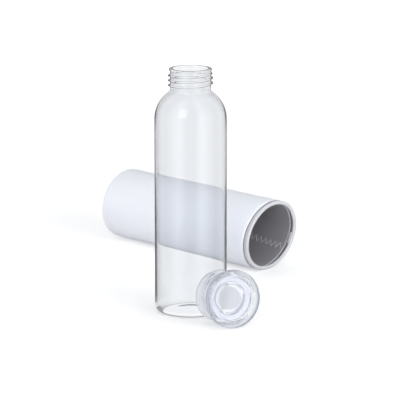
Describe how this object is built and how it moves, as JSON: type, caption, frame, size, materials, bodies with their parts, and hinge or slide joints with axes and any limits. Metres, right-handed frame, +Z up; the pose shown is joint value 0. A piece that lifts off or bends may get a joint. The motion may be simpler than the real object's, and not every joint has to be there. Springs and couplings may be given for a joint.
{
  "type": "glass bottle",
  "caption": "Upright clear glass drinking bottle with a threaded neck, its clear recessed screw lid lying in front, and a round white sewn sleeve lying beside it.",
  "frame": {"origin": "middle of the whole set's outer box, on the surface that it rests on", "axes": "+Z up along the bottle's axis, +Y along the lying sleeve from its mouth to its closed end, +X from the bottle to the sleeve"},
  "size_m": [0.2398, 0.3664, 0.223],
  "materials": {
    "clear_glass": "clear colourless glass, fire-polished",
    "clear_plastic": "clear moulded plastic, glossy",
    "white_silicone": "translucent white silicone, satin",
    "white_cloth": "smooth white knitted polyester on a thin foam",
    "grey_lining": "dark grey knitted lining",
    "hem_cloth": "ribbed pale grey binding",
    "grey_thread": "grey sewing thread"
  },
  "bodies": {
    "bottle": {"bottle_glass": "clear_glass"},
    "lid": {"lid_shell": "clear_plastic", "lid_seal": "white_silicone"},
    "sleeve": {"sleeve_shell": "white_cloth", "sleeve_lining": "grey_lining", "sleeve_base": "white_cloth", "sleeve_base_lining": "grey_lining", "sleeve_hem": "hem_cloth", "hem_stitching": "grey_thread", "base_stitching": "grey_thread", "side_seam_stitching": "grey_thread"}
  },
  "joints": [
    {"name": "lid_lift", "type": "slide", "parent": "bottle", "child": "lid", "axis": [0, 0, 1], "range_m": [0, 0.25]},
    {"name": "sleeve_lift", "type": "slide", "parent": "bottle", "child": "sleeve", "axis": [0, 0, 1], "range_m": [0, 0.25]}
  ]
}
